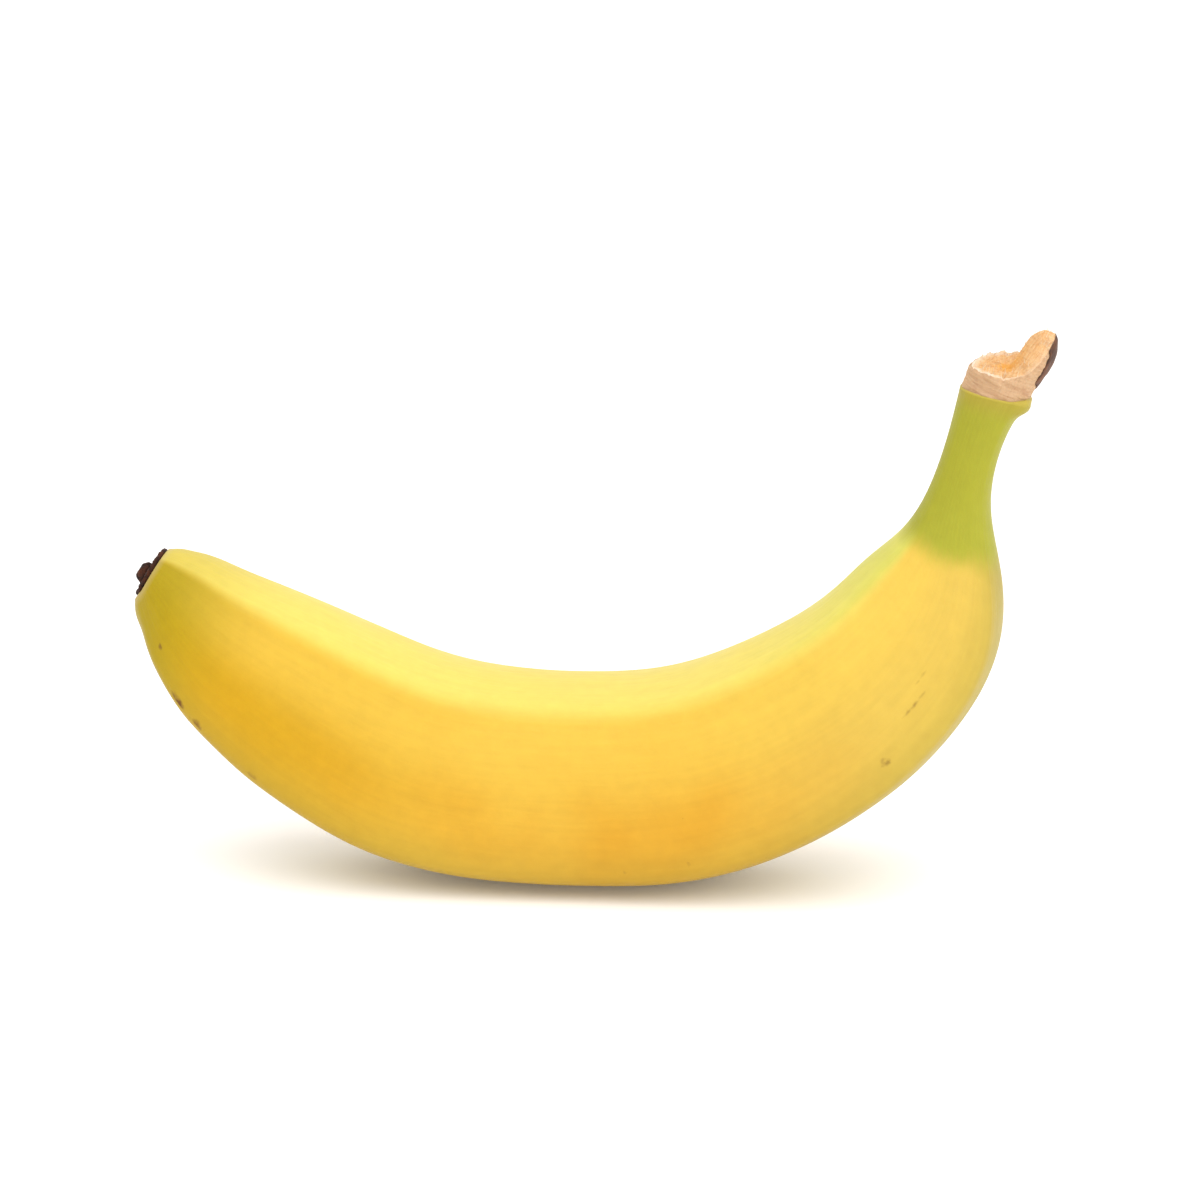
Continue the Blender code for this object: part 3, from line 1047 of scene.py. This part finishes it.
# ---------------------------------------------------------------------------------------------------------
# Crumbs of the dried flower: flat flakes under a millimetre across, of the same dead tissue as the scar.
# They still cling round it.
# ---------------------------------------------------------------------------------------------------------
CRUMBS = {
    "Crumbs": 15,
    "Ring radius": 3.5 * SIZE,
    "Crumb size": 0.42 * SIZE,
    "Scatter": 0.6 * SIZE,
    "Seed": 9,
}
CRUMB_OUT = 0.3 * SIZE


def crumb_tree():
    """Geometry Nodes that scatter small flakes round a ring on the scar."""
    tree, given = open_tree("blossom crumbs", "Scar", CRUMBS)
    circle = add_node(
        tree, "GeometryNodeMeshCircle", {"Vertices": given["Crumbs"], "Radius": given["Ring radius"]}
    )
    low = add_node(tree, "ShaderNodeMath", {0: given["Scatter"], 1: -1.0}, operation="MULTIPLY")
    lowest = add_node(tree, "ShaderNodeCombineXYZ", {"X": low, "Y": low})
    highest = add_node(
        tree, "ShaderNodeCombineXYZ", {"X": given["Scatter"], "Y": given["Scatter"], "Z": 0.0001}
    )
    scatter, rotation, shape = (
        add_node(
            tree,
            "FunctionNodeRandomValue",
            {"Min": least, "Max": most, "Seed": given["Seed"]},
            data_type="FLOAT_VECTOR",
        )
        for least, most in (
            (lowest, highest),
            ((0.0, 0.0, 0.0), (ANY_TURN, ANY_TURN, ANY_TURN)),
            ((0.35, 0.35, 0.25), (1.1, 1.0, 0.6)),
        )
    )
    circle = add_node(tree, "GeometryNodeSetPosition", {"Geometry": circle, "Offset": scatter})
    flake = add_node(tree, "GeometryNodeMeshIcoSphere", {"Radius": given["Crumb size"], "Subdivisions": 2})
    flakes = add_node(
        tree,
        "GeometryNodeInstanceOnPoints",
        {"Points": circle, "Instance": flake, "Rotation": rotation, "Scale": shape},
    )
    return close_tree(tree, flakes, given["Material"])


crumb_source = put_in_scene("crumb source", bpy.data.meshes.new("crumb source"))
crumbs = grow(crumb_source, crumb_tree(), {**CRUMBS, "Material": crust}, "blossom_crumbs")
on_tip = Matrix((Vector((0.0, 1.0, 0.0)), TIP_UP, TIP_OUT)).transposed().to_4x4()
crumbs.data.transform(Matrix.Translation(TIP_AT + TIP_OUT * CRUMB_OUT) @ on_tip)
face_outwards(crumbs)
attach(crumbs, "root")

# ---------------------------------------------------------------------------------------------------------
# The floor, the light and the camera: a matt white table lit faintly from below, one big soft light
# overhead, a smaller one at the stem's side, and white all round.
# ---------------------------------------------------------------------------------------------------------
FLOOR_HALF = 8.0
CAMERA_TURN, CAMERA_RISE = math.radians(5.0), math.radians(15.0)
CAMERA_DISTANCE = 0.49
CAMERA_TARGET = Vector((MID_X + 2.2 * SIZE, 0.0, FLOOR_Z + 50.0 * SIZE))
LIGHTS_FACE = Vector((0.0, 0.0, 0.03))


def floor_material():
    """Matt white acrylic, as cast and lit faintly from below, so shadows on it stay pale."""
    material, tree, shader, spot = start_material("matt white acrylic")
    _, tone = two_tones(tree, {"Vector": spot, "Scale": 3.0}, 0.0, 1.0, "#FBFAF9", "#FDFCFB")
    tree.links.new(tone, shader.inputs["Base Color"])
    set_sockets(
        shader,
        {
            "Roughness": 0.9,
            "Specular IOR Level": 0.1,
            "Emission Color": linear("#FFEFE9"),
            "Emission Strength": 0.08,
        },
    )
    return material


floor_mesh = bpy.data.meshes.new("floor")
corners = [(x * FLOOR_HALF, y * FLOOR_HALF, FLOOR_Z) for x, y in ((-1, -1), (1, -1), (1, 1), (-1, 1))]
floor_mesh.from_pydata(corners, [], [(0, 1, 2, 3)])
floor_mesh.materials.append(floor_material())
floor = put_in_scene("floor", floor_mesh)

world = bpy.data.worlds.new("white studio")
world.use_nodes = True
background = world.node_tree.nodes["Background"]
background.inputs["Color"].default_value = linear("#FFFFFF")
background.inputs["Strength"].default_value = 1.06
bpy.context.scene.world = world
bpy.context.scene.view_settings.view_transform = "Standard"


def soft_light(name, place, size, power, colour):
    """A square soft light that faces the fruit."""
    data = bpy.data.lights.new(name, "AREA")
    data.shape = "SQUARE"
    data.size = size
    data.energy = power
    data.color = colour
    light = put_in_scene(name, data)
    light.location = place
    light.rotation_euler = (LIGHTS_FACE - Vector(place)).to_track_quat("-Z", "Y").to_euler()


soft_light("overhead softbox", (0.1, -0.4, 1.0), 1.4, 7.4, (1.0, 0.99, 0.97))
soft_light("side fill", (1.2, -0.45, 0.35), 0.9, 4.0, (1.0, 1.0, 1.0))

camera_data = bpy.data.cameras.new("camera")
camera_data.lens = 85.0
camera_data.sensor_width = 36.0
camera_data.clip_end = 50.0
camera = put_in_scene("camera", camera_data)
sight = Vector((-math.sin(CAMERA_TURN), math.cos(CAMERA_TURN), 0.0)) * math.cos(CAMERA_RISE)
sight.z = -math.sin(CAMERA_RISE)
camera.location = CAMERA_TARGET - sight * CAMERA_DISTANCE
camera.rotation_euler = sight.to_track_quat("-Z", "Y").to_euler()
bpy.context.scene.camera = camera
